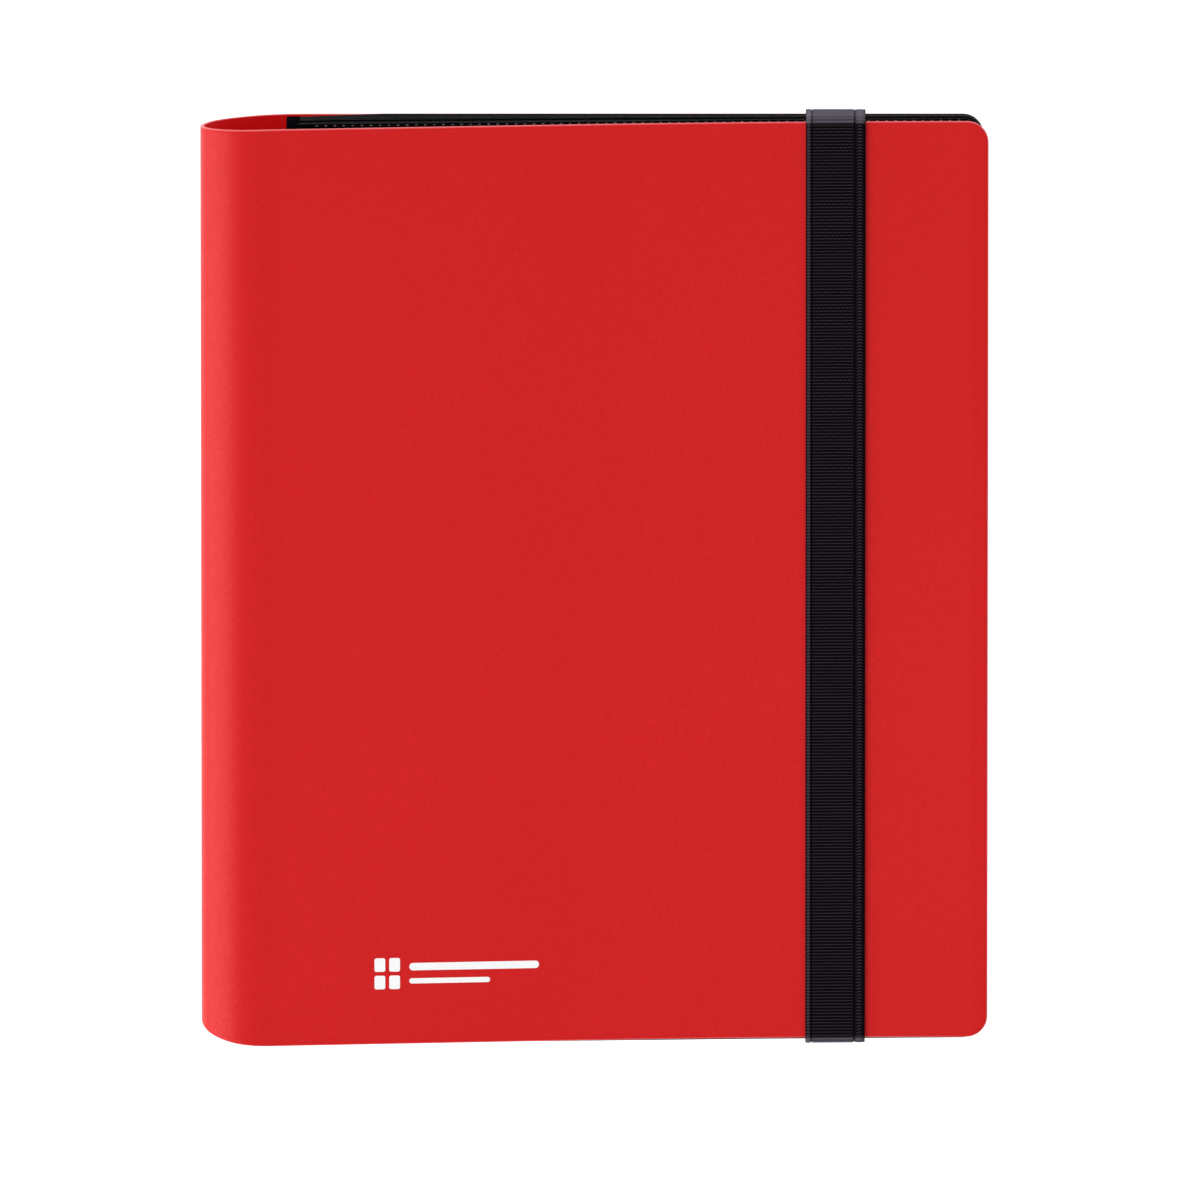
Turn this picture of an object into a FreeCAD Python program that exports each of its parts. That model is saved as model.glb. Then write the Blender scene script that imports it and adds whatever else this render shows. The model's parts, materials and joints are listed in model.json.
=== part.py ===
import FreeCAD, Part
import math
import os

# Trading card binder, lying on its back cover, closed.
# X runs from the spine to the fore-edge, Y along the height, Z is thickness, up.
# The origin is the centre of the bounding box, on the plane the binder rests on.

# ---- driving dimensions, in millimetres ----
COVER_WIDTH = 177.0
COVER_HEIGHT = 209.0
SHEET = 0.8                    # thickness of the polypropylene cover sheet
COVER_CORNER = 4.8             # corner radius of the cover at the fore-edge
BACK_START = 15.9              # where the back panel leaves the rest plane
SPINE_LENGTHS = (14.0, 8.0, 4.0, 3.5, 5.5)
FOLD_TURN = 30.71              # equal turn of each of the six folds, in degrees
FORE_EDGE_HEIGHT = 10.9        # top of the front panel at the fore-edge
FRONT_SLOPE_END = 80.0         # where the straight slope of the front panel ends
FRONT_ARC_END = 175.0          # where the front panel has flattened out
FRONT_ARC_FACETS = 5
FOLD_GAP = 0.05                # room left at each fold, half on either side
SPINE_END_LONG = 16.0          # the spine's lower end is rounded off as a quarter ellipse,
SPINE_END_DEEP = 5.1           # this long from the nose and this deep

LEAVES = 20
LEAF_SHEET = 0.16              # black core sheet of a leaf
POCKET_FILM = 0.06             # clear film welded to each side
LEAF_HALF_HEIGHT = 104.9
LEAF_FORE_EDGE = 175.9
LEAF_CORNER = 4.6
HINGE_ROOM = 0.5               # from the hinge line to the first edge of the leaf
BIND_LEFT = 19.8               # bound edge of the block
BIND_RIGHT = 22.4
BIND_LOW = 6.8                 # height of the lowest leaf at the bound edge
BIND_PITCH = 0.55
BOUND_EDGE = 0.5               # thickness of one bound edge
TAPE = 0.4                     # tape folded round the bound edge
CREASE_FIRST = 23.4            # crease of the top leaf, which is its hinge line
CREASE_STEP = 0.9              # each leaf below is creased this much further out
CREASE_LOW = 2.2               # height of the lowest crease
CREASE_PITCH = 0.79
BEND_X = 125.0                 # the leaves bend here, under the hollow of the front panel
BEND_LOW = 2.2
BEND_PITCH = 0.468
FORE_LOW = 2.25                # height of the lowest leaf at the fore-edge
FORE_PITCH = 0.36
CARD_WIDTH = 63.5
CARD_HEIGHT = 88.9
POCKET_ROOM = 1.5              # pocket is wider than the card by this much
POCKET_SLACK = 8.1             # pocket is taller than the card by this much
POCKET_SEAM = 2.0              # welded seam between pockets

FLANGE_TOP = 1.5               # binding flange welded inside the back panel
FLANGE_RIGHT = 33.0
FLANGE_HALF = 98.0             # the flange stops short of the open ends

STRAP_LEFT = 136.0
STRAP_WIDTH = 13.4
STRAP_THICK = 0.8
STRAP_CLEAR = 0.1
STRAP_INSIDE = 105.0           # inner face of the wraps, measured from the middle
TAIL_THICK = 0.7
TAIL_END = 88.0
CLAMP_TOP = 1.85
CLAMP_INNER = 90.0
CLAMP_OUTER = 98.0
CLAMP_LEG = 4.0
CLAMP_SIDE_ROOM = 0.3

HALF = COVER_HEIGHT / 2


def step_point(point, angle_deg, length):
    """Point reached from point by going length in the direction angle_deg."""
    angle = math.radians(angle_deg)
    return (point[0] + length * math.cos(angle), point[1] + length * math.sin(angle))


def spine_outline():
    """Outer corners of the folded spine, from the back panel to the front panel."""
    points = [(BACK_START, 0.0)]
    direction = 180.0
    for length in SPINE_LENGTHS:
        direction -= FOLD_TURN
        points.append(step_point(points[-1], direction, length))
    return points


def front_height(x):
    """Height of the front panel's outer face: a straight slope, then a wide arc."""
    start = spine_outline()[-1]
    middle = (FRONT_SLOPE_END + FRONT_ARC_END) / 2
    slope = (start[1] - FORE_EDGE_HEIGHT) / (middle - start[0])
    if x <= FRONT_SLOPE_END:
        return FORE_EDGE_HEIGHT + slope * (middle - x)
    if x >= FRONT_ARC_END:
        return FORE_EDGE_HEIGHT
    reach = FRONT_ARC_END - FRONT_SLOPE_END
    return FORE_EDGE_HEIGHT + slope * (FRONT_ARC_END - x) ** 2 / (2 * reach)


def front_outline():
    """Outer corners of the front panel, spine side first."""
    points = [spine_outline()[-1], (FRONT_SLOPE_END, front_height(FRONT_SLOPE_END))]
    for i in range(1, FRONT_ARC_FACETS):
        x = FRONT_SLOPE_END + (FRONT_ARC_END - FRONT_SLOPE_END) * i / FRONT_ARC_FACETS
        points.append((x, front_height(x)))
    points.append((FRONT_ARC_END, FORE_EDGE_HEIGHT))
    points.append((COVER_WIDTH, FORE_EDGE_HEIGHT))
    return points


NOSE = min(p[0] for p in spine_outline())
SHIFT = -(NOSE + COVER_WIDTH) / 2


def unit(a, b):
    length = math.hypot(b[0] - a[0], b[1] - a[1])
    return ((b[0] - a[0]) / length, (b[1] - a[1]) / length)


def mitre(before, corner, after, depth):
    """Inner corner of a folded sheet, with its inside on the right of the path."""
    u = unit(before, corner)
    v = unit(corner, after)
    n = (u[1] + v[1], -(u[0] + v[0]))
    scale = depth / (n[0] * v[1] - n[1] * v[0])
    return (corner[0] + n[0] * scale, corner[1] + n[1] * scale)


def prism(points, low, high):
    """Solid with the given X-Z outline, from Y low to Y high."""
    corners = [FreeCAD.Vector(x + SHIFT, low, z) for x, z in points]
    face = Part.Face(Part.makePolygon(corners + [corners[0]]))
    return face.extrude(FreeCAD.Vector(0, high - low, 0))


def box(x0, x1, y0, y1, z0, z1):
    """Upright box between the given limits."""
    place = FreeCAD.Vector(x0 + SHIFT, y0, z0)
    return Part.makeBox(x1 - x0, y1 - y0, z1 - z0, place)


def corner_cutter(right, half, radius, side):
    """What a rounded corner takes off at the fore-edge, over the whole thickness."""
    tall = 40.0
    over = 1.0
    y_low = side * half - radius if side > 0 else -half - over
    block = box(right - radius, right + over, y_low, y_low + radius + over, -over, tall)
    centre = FreeCAD.Vector(right - radius + SHIFT, side * (half - radius), -2 * over)
    keep = Part.makeCylinder(radius, tall + 4 * over, centre)
    return block.cut(keep)


def round_fore_corners(shape, right, half, radius):
    """Rounds both corners at the fore-edge, seen from above."""
    for side in (-1, 1):
        shape = shape.cut(corner_cutter(right, half, radius, side))
    return shape


def round_spine_end(shape):
    """Rounds off the lower end of the spine, over the whole thickness."""
    tall = 40.0
    over = 1.0
    right = NOSE + SPINE_END_LONG
    top = -HALF + SPINE_END_DEEP
    block = box(NOSE - over, right, -HALF - over, top, -over, tall)
    centre = FreeCAD.Vector(right + SHIFT, top, -2 * over)
    outline = Part.Ellipse(centre, SPINE_END_LONG, SPINE_END_DEEP).toShape()
    keep = Part.Face(Part.Wire(outline)).extrude(FreeCAD.Vector(0, 0, tall + 4 * over))
    return shape.cut(block.cut(keep))


def save(shape, name):
    shape.exportStep("parts/%s.step" % name)


# ---- cover ----
def folded_strip(outer, before, after, trim_start, trim_end):
    """One flat length of the cover sheet, mitred at its folds."""
    inner_start = mitre(before, outer[0], outer[1], SHEET)
    inner_end = mitre(outer[-2], outer[-1], after, SHEET)
    inner = [inner_start]
    for i in range(1, len(outer) - 1):
        inner.append(mitre(outer[i - 1], outer[i], outer[i + 1], SHEET))
    inner.append(inner_end)
    first = unit(outer[0], outer[1])
    last = unit(outer[-2], outer[-1])
    outer = list(outer)
    outer[0] = slide_point(outer[0], first, trim_start)
    inner[0] = slide_point(inner[0], first, trim_start)
    outer[-1] = slide_point(outer[-1], last, -trim_end)
    inner[-1] = slide_point(inner[-1], last, -trim_end)
    return prism(outer + inner[::-1], -HALF, HALF)


def slide_point(point, direction, length):
    return (point[0] + direction[0] * length, point[1] + direction[1] * length)


def back_cover():
    spine = spine_outline()
    outer = [(COVER_WIDTH, 0.0), spine[0]]
    panel = folded_strip(outer, (COVER_WIDTH + 1, 0.0), spine[1], 0.0, FOLD_GAP / 2)
    return round_fore_corners(panel, COVER_WIDTH, HALF, COVER_CORNER)


def spine_strip(index):
    spine = spine_outline()
    before = (COVER_WIDTH, 0.0) if index == 0 else spine[index - 1]
    last = index == len(SPINE_LENGTHS) - 1
    after = front_outline()[1] if last else spine[index + 2]
    outer = [spine[index], spine[index + 1]]
    return round_spine_end(folded_strip(outer, before, after, FOLD_GAP / 2, FOLD_GAP / 2))


def front_cover():
    outer = front_outline()
    before = spine_outline()[-2]
    after = (COVER_WIDTH + 1, FORE_EDGE_HEIGHT)
    panel = round_spine_end(folded_strip(outer, before, after, FOLD_GAP / 2, 0.0))
    return round_fore_corners(panel, COVER_WIDTH, HALF, COVER_CORNER)


# ---- leaves ----
def leaf_hinge(index):
    """Crease line of a leaf; the lowest leaf has index 0."""
    x = CREASE_FIRST + CREASE_STEP * (LEAVES - 1 - index)
    return (x, CREASE_LOW + CREASE_PITCH * index)


def leaf_height(index, x):
    """Height of a leaf's middle plane: two straight runs that meet at the bend."""
    hinge = leaf_hinge(index)
    bend = (BEND_X, BEND_LOW + BEND_PITCH * index)
    end = (LEAF_FORE_EDGE, FORE_LOW + FORE_PITCH * index)
    start, stop = (hinge, bend) if x <= BEND_X else (bend, end)
    share = (x - start[0]) / (stop[0] - start[0])
    return start[1] + share * (stop[1] - start[1])


def leaf_slab(index, x0, x1, low, high, y0, y1):
    """Slab that follows a leaf from x0 to x1, between two lifts off its middle plane."""
    stations = [x0, x1]
    if x0 < BEND_X < x1:
        stations.insert(1, BEND_X)
    under = [(x, leaf_height(index, x) + low) for x in stations]
    over = [(x, leaf_height(index, x) + high) for x in reversed(stations)]
    return prism(under + over, y0, y1)


def leaf_sheet(index):
    start = leaf_hinge(index)[0] + HINGE_ROOM
    slab = leaf_slab(index, start, LEAF_FORE_EDGE, -LEAF_SHEET / 2, LEAF_SHEET / 2,
                     -LEAF_HALF_HEIGHT, LEAF_HALF_HEIGHT)
    return round_fore_corners(slab, LEAF_FORE_EDGE, LEAF_HALF_HEIGHT, LEAF_CORNER)


def leaf_pockets(index):
    """Eight clear pocket fronts: two by two on each side of the leaf."""
    pocket = CARD_WIDTH + POCKET_ROOM
    tall = CARD_HEIGHT + POCKET_SLACK
    films = []
    for column in (0, 1):
        right = LEAF_FORE_EDGE - POCKET_SEAM - column * (pocket + POCKET_SEAM)
        for y0 in (POCKET_SEAM / 2, -POCKET_SEAM / 2 - tall):
            for side in (-1, 1):
                near = side * LEAF_SHEET / 2
                far = near + side * POCKET_FILM
                films.append(leaf_slab(index, right - pocket, right, min(near, far),
                                       max(near, far), y0, y0 + tall))
    return Part.makeCompound(films)


# ---- binding ----
def bound_height(index):
    """Height of a leaf's middle plane at the bound edge."""
    return BIND_LOW + BIND_PITCH * index


def bound_edges():
    """Thick welded edges of the leaves, stacked."""
    edges = []
    for i in range(LEAVES):
        z = bound_height(i)
        edges.append(box(BIND_LEFT, BIND_RIGHT, -LEAF_HALF_HEIGHT, LEAF_HALF_HEIGHT,
                         z - BOUND_EDGE / 2, z + BOUND_EDGE / 2))
    return Part.makeCompound(edges)


def leaf_margins():
    """Thin margin of each leaf, from the welded edge to its crease."""
    margins = []
    half = LEAF_SHEET / 2
    for i in range(LEAVES):
        x, z = leaf_hinge(i)
        start = bound_height(i)
        outline = [(BIND_RIGHT, start - half), (x, z - half), (x, z + half),
                   (BIND_RIGHT, start + half)]
        margins.append(prism(outline, -LEAF_HALF_HEIGHT, LEAF_HALF_HEIGHT))
    return Part.makeCompound(margins)


def stack_low():
    return bound_height(0) - BOUND_EDGE / 2


def stack_high():
    return bound_height(LEAVES - 1) + BOUND_EDGE / 2


def binding_tape():
    """Channel folded round the bound edges, open towards the leaves."""
    outside = box(BIND_LEFT - TAPE, BIND_RIGHT, -LEAF_HALF_HEIGHT, LEAF_HALF_HEIGHT,
                  stack_low() - TAPE, stack_high() + TAPE)
    over = 1.0
    inside = box(BIND_LEFT, BIND_RIGHT + over, -LEAF_HALF_HEIGHT - over,
                 LEAF_HALF_HEIGHT + over, stack_low(), stack_high())
    return outside.cut(inside)


def binding_flange():
    """Strip welded to the back panel, with the riser that carries the stack."""
    left = BIND_LEFT - TAPE
    base = box(left, FLANGE_RIGHT, -FLANGE_HALF, FLANGE_HALF, SHEET, FLANGE_TOP)
    riser = box(left, BIND_RIGHT, -FLANGE_HALF, FLANGE_HALF, FLANGE_TOP, stack_low() - TAPE)
    return base.fuse(riser).removeSplitter()


# ---- strap ----
def strap_run_low():
    return front_height(STRAP_LEFT) + STRAP_CLEAR


def strap_front_run():
    low = strap_run_low()
    reach = STRAP_INSIDE + STRAP_THICK
    return box(STRAP_LEFT, STRAP_LEFT + STRAP_WIDTH, -reach, reach, low, low + STRAP_THICK)


def strap_wrap(side):
    """Band round the ends of the block, from the back panel to the front run."""
    inner = side * STRAP_INSIDE
    outer = side * (STRAP_INSIDE + STRAP_THICK)
    return box(STRAP_LEFT, STRAP_LEFT + STRAP_WIDTH, min(inner, outer), max(inner, outer),
               SHEET + TAIL_THICK, strap_run_low())


def strap_tail(side):
    """End of the strap, lying inside the back panel and passing round its edge."""
    inner = side * TAIL_END
    outer = side * (STRAP_INSIDE + STRAP_THICK)
    return box(STRAP_LEFT, STRAP_LEFT + STRAP_WIDTH, min(inner, outer), max(inner, outer),
               SHEET, SHEET + TAIL_THICK)


def strap_clamp(side):
    """Low bridge welded over the strap's tail."""
    left = STRAP_LEFT - CLAMP_SIDE_ROOM
    right = STRAP_LEFT + STRAP_WIDTH + CLAMP_SIDE_ROOM
    y0 = min(side * CLAMP_INNER, side * CLAMP_OUTER)
    y1 = max(side * CLAMP_INNER, side * CLAMP_OUTER)
    plate = box(left - CLAMP_LEG, right + CLAMP_LEG, y0, y1, SHEET, CLAMP_TOP)
    channel = box(left, right, y0, y1, SHEET, SHEET + TAIL_THICK)
    return plate.cut(channel)


def main():
    os.makedirs("parts", exist_ok=True)
    save(back_cover(), "back_cover")
    for i in range(len(SPINE_LENGTHS)):
        save(spine_strip(i), "spine_strip_%d" % (i + 1))
    save(front_cover(), "front_cover")
    save(binding_flange(), "binding_flange")
    save(bound_edges(), "bound_edges")
    save(leaf_margins(), "leaf_margins")
    save(binding_tape(), "binding_tape")
    for i in range(LEAVES):
        save(leaf_sheet(i), "leaf_%02d_sheet" % (i + 1))
        save(leaf_pockets(i), "leaf_%02d_pockets" % (i + 1))
    save(strap_front_run(), "strap_front_run")
    for side, end in ((1, "top"), (-1, "bottom")):
        save(strap_wrap(side), "strap_wrap_" + end)
        save(strap_tail(side), "strap_tail_" + end)
        save(strap_clamp(side), "strap_clamp_" + end)


main()
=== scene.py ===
"""Looks of a trading card binder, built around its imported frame. Lengths are in metres."""
import math
import json
import random

import bmesh
import bpy
from mathutils import Vector, Matrix


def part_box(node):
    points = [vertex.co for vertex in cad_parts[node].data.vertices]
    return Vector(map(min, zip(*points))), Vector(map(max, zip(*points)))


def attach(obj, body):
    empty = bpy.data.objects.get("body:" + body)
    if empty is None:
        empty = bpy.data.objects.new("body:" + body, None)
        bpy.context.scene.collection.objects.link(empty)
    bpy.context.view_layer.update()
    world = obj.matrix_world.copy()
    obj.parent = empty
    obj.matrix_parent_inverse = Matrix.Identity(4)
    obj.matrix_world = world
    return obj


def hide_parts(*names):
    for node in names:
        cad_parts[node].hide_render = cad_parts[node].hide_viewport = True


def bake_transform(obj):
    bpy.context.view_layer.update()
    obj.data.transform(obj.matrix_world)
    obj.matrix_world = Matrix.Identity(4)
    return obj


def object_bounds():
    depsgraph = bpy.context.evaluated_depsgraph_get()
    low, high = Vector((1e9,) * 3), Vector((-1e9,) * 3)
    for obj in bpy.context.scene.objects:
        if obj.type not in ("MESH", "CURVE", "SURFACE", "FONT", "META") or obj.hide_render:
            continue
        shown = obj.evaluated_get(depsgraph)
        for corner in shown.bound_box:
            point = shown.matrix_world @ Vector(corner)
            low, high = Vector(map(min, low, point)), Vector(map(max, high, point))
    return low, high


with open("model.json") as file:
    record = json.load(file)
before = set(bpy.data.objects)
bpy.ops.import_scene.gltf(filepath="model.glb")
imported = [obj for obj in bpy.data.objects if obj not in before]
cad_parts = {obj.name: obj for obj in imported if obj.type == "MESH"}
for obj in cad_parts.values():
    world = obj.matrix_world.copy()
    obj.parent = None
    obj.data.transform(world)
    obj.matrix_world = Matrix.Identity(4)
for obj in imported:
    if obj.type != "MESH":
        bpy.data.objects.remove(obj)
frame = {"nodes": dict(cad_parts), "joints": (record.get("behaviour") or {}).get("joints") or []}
CAD_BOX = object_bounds()
MM = 0.001


# ---------------------------------------------------------------- places, from the frame
def joint_point(name):
    """Place of a joint's axis in the XZ plane."""
    for joint in frame["joints"]:
        if joint["name"] == name:
            x, _, z = joint["pos_m"]
            return (x, z)
    raise ValueError(name)


BACK_LOW, BACK_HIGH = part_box("back_cover")
FRONT_LOW, FRONT_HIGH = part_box("front_cover")
RUN_LOW, RUN_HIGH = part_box("strap_front_run")
TAIL_LOW, TAIL_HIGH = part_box("strap_tail_top")
BOUND_LOW, BOUND_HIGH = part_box("bound_edges")
TAPE_LOW, TAPE_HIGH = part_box("binding_tape")
LEAVES = sum(1 for name in frame["nodes"] if name.endswith("_sheet"))

HALF = BACK_HIGH.y            # half the cover's height
SHEET = BACK_HIGH.z - BACK_LOW.z
FORE = FRONT_HIGH.x           # the fore-edge
CORNER = 4.8 * MM             # radius of the cover's corners
STRIPS = sum(1 for name in frame["nodes"] if name.startswith("spine_strip_"))
FOLDS = [joint_point("spine_fold_%d" % (i + 1)) for i in range(STRIPS)] + [joint_point("cover_open")]


# ---------------------------------------------------------------- mesh helpers
def new_mesh(name, verts, faces, sharp_deg=35.0):
    """Object from points and faces, with its normals outward and its edges sharp past an angle."""
    mesh = bpy.data.meshes.new(name)
    mesh.from_pydata([tuple(v) for v in verts], [], faces)
    mesh.validate()
    shape = bmesh.new()
    shape.from_mesh(mesh)
    bmesh.ops.recalc_face_normals(shape, faces=shape.faces)
    shape.to_mesh(mesh)
    shape.free()
    mesh.shade_smooth()
    mesh.set_sharp_from_angle(angle=math.radians(sharp_deg))
    piece = bpy.data.objects.new(name, mesh)
    bpy.context.scene.collection.objects.link(piece)
    return piece


def cap_quads(first, count):
    """Quads that close a ring whose second half mirrors its first, as at a rounded fore-edge."""
    last = first + count - 1
    return [(first + j, first + j + 1, last - j - 1, last - j) for j in range(count // 2 - 1)]


def loft(name, rings, materials, band_material=None, fore_edge=False, sharp_deg=35.0):
    """Closed solid through equal rings of points; band_material gives each side band its slot."""
    verts = []
    faces = []
    slots = []
    count = len(rings[0])
    for ring in rings:
        verts.extend(ring)
    for i in range(len(rings) - 1):
        for j in range(count):
            k = (j + 1) % count
            faces.append((i * count + j, i * count + k, (i + 1) * count + k, (i + 1) * count + j))
            slots.append(band_material(j) if band_material else 0)
    for ring_index, flip in ((0, True), (len(rings) - 1, False)):
        first = ring_index * count
        by_quads = fore_edge and not flip
        caps = cap_quads(first, count) if by_quads else [tuple(range(first, first + count))]
        for j, cap in enumerate(caps):
            faces.append(cap[::-1] if flip else cap)
            slots.append(band_material(j) if by_quads else 0)
    piece = new_mesh(name, verts, faces, sharp_deg)
    for material in materials:
        piece.data.materials.append(material)
    for polygon, slot in zip(piece.data.polygons, slots):
        polygon.material_index = slot
    return piece


# ---------------------------------------------------------------- material helpers
class Nodes:
    """Small wrapper that builds a node material line by line."""

    def __init__(self, name):
        self.material = bpy.data.materials.new(name)
        self.material.use_nodes = True
        self.tree = self.material.node_tree
        self.shader = self.tree.nodes["Principled BSDF"]
        self.coord = self.tree.nodes.new("ShaderNodeTexCoord")

    def add(self, kind, **settings):
        node = self.tree.nodes.new(kind)
        for key, value in settings.items():
            setattr(node, key, value)
        return node

    def link(self, a, b):
        self.tree.links.new(a, b)

    def mapped(self, scale):
        """Object coordinates, scaled along each axis."""
        mapping = self.add("ShaderNodeMapping")
        mapping.inputs["Scale"].default_value = scale
        self.link(self.coord.outputs["Object"], mapping.inputs["Vector"])
        return mapping.outputs["Vector"]

    def noise(self, size, detail=2.0, rough=0.5, stretch=(1, 1, 1)):
        """Noise whose features are about size metres across."""
        node = self.add("ShaderNodeTexNoise")
        node.inputs["Scale"].default_value = 1.0 / size
        node.inputs["Detail"].default_value = detail
        node.inputs["Roughness"].default_value = rough
        self.link(self.mapped(stretch), node.inputs["Vector"])
        return node.outputs["Fac"]

    def ramp(self, source, low, high, from_min=0.3, from_max=0.7):
        """Source from from_min to from_max, spread over low to high."""
        node = self.add("ShaderNodeMapRange")
        node.inputs["From Min"].default_value = from_min
        node.inputs["From Max"].default_value = from_max
        node.inputs["To Min"].default_value = low
        node.inputs["To Max"].default_value = high
        self.link(source, node.inputs["Value"])
        return node.outputs["Result"]

    def mix(self, factor, a, b):
        """Colour from a to b, where each is a tuple or a node's output."""
        node = self.add("ShaderNodeMix", data_type="RGBA")
        factor_in, colour_a, colour_b = (node.inputs[i] for i in (0, 6, 7))
        for socket, colour in ((colour_a, a), (colour_b, b)):
            if isinstance(colour, tuple):
                socket.default_value = (*colour, 1)
            else:
                self.link(colour, socket)
        self.link(factor, factor_in)
        colour_out = 2
        return node.outputs[colour_out]

    def scaled(self, value, factor):
        """A value times a constant."""
        node = self.add("ShaderNodeMath", operation="MULTIPLY")
        self.link(value, node.inputs[0])
        node.inputs[1].default_value = factor
        return node.outputs[0]

    def bump(self, height, distance, strength=1.0, after=None):
        node = self.add("ShaderNodeBump")
        node.inputs["Distance"].default_value = distance
        node.inputs["Strength"].default_value = strength
        self.link(height, node.inputs["Height"])
        if after is not None:
            self.link(after, node.inputs["Normal"])
        return node.outputs["Normal"]

    def finish(self, colour, roughness, normal, **constants):
        """Wire the shader up. Each input takes a node's output or a constant."""
        for name, value in (("Base Color", colour), ("Roughness", roughness), ("Normal", normal)):
            socket = self.shader.inputs[name]
            if isinstance(value, tuple):
                socket.default_value = (*value, 1)
            elif isinstance(value, float):
                socket.default_value = value
            elif value is not None:
                self.link(value, socket)
        for key, value in constants.items():
            self.shader.inputs[key.replace("_", " ")].default_value = value
        return self.material


# ---------------------------------------------------------------- materials
def cover_red(name, glow):
    """Matt extruded polypropylene: fine sand grain, sparse paler specks, slow drift of its tone.

    The glow is painted light: an emission on the sheet's inside that stands in for the light coming through
    the thin sheet and brightens its shaded inside.
    """
    n = Nodes(name)
    broad = n.noise(60 * MM, 2.0)
    grain = n.noise(0.22 * MM, 2.0, 0.6)
    pebble = n.noise(0.9 * MM, 2.0, 0.5)
    speck = n.ramp(n.noise(0.55 * MM, 1.0, 0.4), 0.0, 1.0, 0.70, 0.80)
    tint = n.mix(n.ramp(broad, 0.0, 1.0), (0.600, 0.0018, 0.0028), (0.636, 0.0028, 0.0040))
    tint = n.mix(n.ramp(pebble, 0.0, 0.9), tint, (0.555, 0.0016, 0.0024))
    tint = n.mix(n.ramp(grain, 0.0, 0.5), tint, (0.57, 0.0024, 0.0034))
    tint = n.mix(n.scaled(speck, 0.35), tint, (0.72, 0.045, 0.05))
    rough = n.ramp(pebble, 0.44, 0.54)
    normal = n.bump(grain, 0.02 * MM, 0.5)
    normal = n.bump(pebble, 0.03 * MM, 0.35, normal)
    return n.finish(tint, rough, normal, Specular_IOR_Level=0.33,
                    Emission_Color=(0.75, 0.002, 0.003, 1), Emission_Strength=glow)


def cut_edge_red():
    """Die-cut edge of the sheet: faintly ribbed across its thickness, and painted paler and whiter, a
    painted highlight along the edge.
    """
    n = Nodes("cut_edge_red_plastic")
    lines = n.noise(0.12 * MM, 2.0, 0.6, (1, 1, 6))
    # paler, whiter tint: painted highlight on the cut edge
    tint = n.mix(n.ramp(lines, 0.0, 1.0), (0.70, 0.035, 0.042), (0.80, 0.085, 0.095))
    normal = n.bump(lines, 0.02 * MM, 0.4)
    return n.finish(tint, 0.38, normal, Specular_IOR_Level=0.6)


def leaf_black():
    """Black polypropylene leaf: smooth satin with faint calender streaks."""
    n = Nodes("leaf_black_plastic")
    streak = n.noise(1.2 * MM, 3.0, 0.6, (1, 0.12, 1))
    tint = n.mix(n.ramp(streak, 0.0, 1.0), (0.0006, 0.0007, 0.0014), (0.0016, 0.0018, 0.0030))
    rough = n.ramp(streak, 0.36, 0.48)
    normal = n.bump(n.noise(0.5 * MM), 0.02 * MM, 0.3)
    return n.finish(tint, rough, normal, Specular_IOR_Level=0.02)


def weld_mark(name, dark, pale):
    """Embossed ultrasonic weld marks, mottled from a dark tone to a pale one."""
    n = Nodes(name)
    tint = n.mix(n.ramp(n.noise(0.4 * MM), 0.0, 1.0), dark, pale)
    normal = n.bump(n.noise(0.15 * MM), 0.02 * MM, 0.4)
    return n.finish(tint, 0.30, normal, Specular_IOR_Level=0.15)


def clear_film():
    """Clear pocket film, slightly rippled."""
    n = Nodes("pocket_clear_film")
    ripple = n.noise(14 * MM, 2.0, 0.5)
    rough = n.ramp(n.noise(3 * MM, 3.0), 0.06, 0.16)
    normal = n.bump(ripple, 0.3 * MM, 0.35)
    n.material.surface_render_method = "BLENDED"
    return n.finish((0.86, 0.88, 0.92), rough, normal, Alpha=0.16, Specular_IOR_Level=0.6)


def seam_film():
    """Welded seam of the film: knurled and nearly black where it is fused to the leaf."""
    n = Nodes("pocket_seam_film")
    knurl = n.noise(0.5 * MM, 1.0, 0.4)
    tint = n.mix(n.ramp(knurl, 0.0, 1.0), (0.003, 0.003, 0.004), (0.012, 0.012, 0.014))
    return n.finish(tint, 0.34, n.bump(knurl, 0.05 * MM, 0.6), Specular_IOR_Level=0.12)


def tape_black():
    """Matt binding tape with a faint woven grain."""
    n = Nodes("binding_tape_black")
    weave = n.noise(0.35 * MM, 2.0, 0.5, (1, 0.4, 1))
    tint = n.mix(n.ramp(weave, 0.0, 1.0), (0.0012, 0.0012, 0.0020), (0.0040, 0.0040, 0.0055))
    normal = n.bump(weave, 0.03 * MM, 0.5)
    return n.finish(tint, n.ramp(weave, 0.5, 0.65), normal, Specular_IOR_Level=0.0)


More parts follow.
